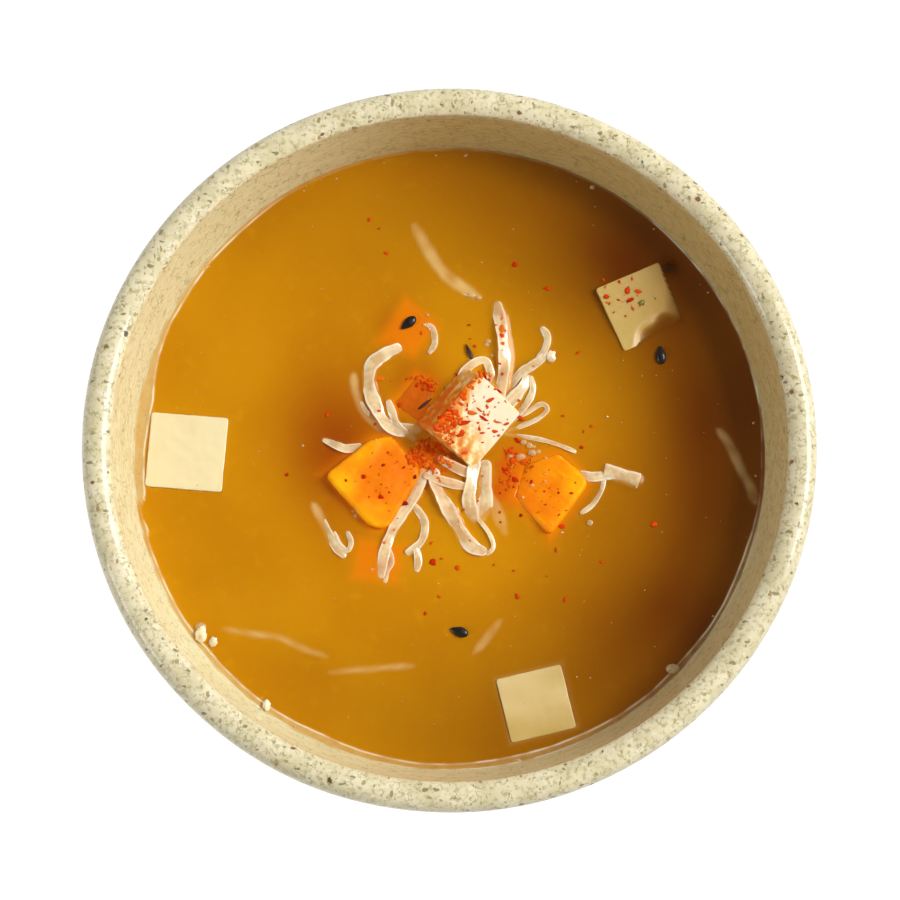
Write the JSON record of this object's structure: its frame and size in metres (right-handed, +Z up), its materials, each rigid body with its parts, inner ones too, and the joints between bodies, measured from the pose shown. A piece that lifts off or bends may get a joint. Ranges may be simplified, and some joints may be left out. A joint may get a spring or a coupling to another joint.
{
  "type": "bowl of miso soup",
  "caption": "Speckled stoneware bowl of miso broth with tofu dice, squash dice and a tangle of leek shreds, topped with chili flakes and black sesame.",
  "frame": {"origin": "bottom centre of the bowl's foot ring", "axes": "+Z up, -Y towards the viewer, +X to the viewer's right"},
  "size_m": [0.1278, 0.128, 0.064],
  "materials": {
    "stoneware": "cream glaze with brown specks",
    "broth": "cloudy amber broth, wet and glossy",
    "tofu": "moist silken tofu",
    "squash": "boiled squash, wet",
    "shreds": "soft translucent leek shreds, wet",
    "chili": "dried chili flakes",
    "sesame": "black sesame seeds"
  },
  "bodies": {
    "root": {"bowl": "stoneware", "broth": "broth", "tofu_left": "tofu", "tofu_right": "tofu", "tofu_front": "tofu", "tofu_centre": "tofu", "squash_left": "squash", "squash_right": "squash", "squash_centre": "squash", "shreds": "shreds", "shred_left": "shreds", "shred_far_left": "shreds", "shred_back": "shreds", "shred_right": "shreds"}
  },
  "joints": []
}
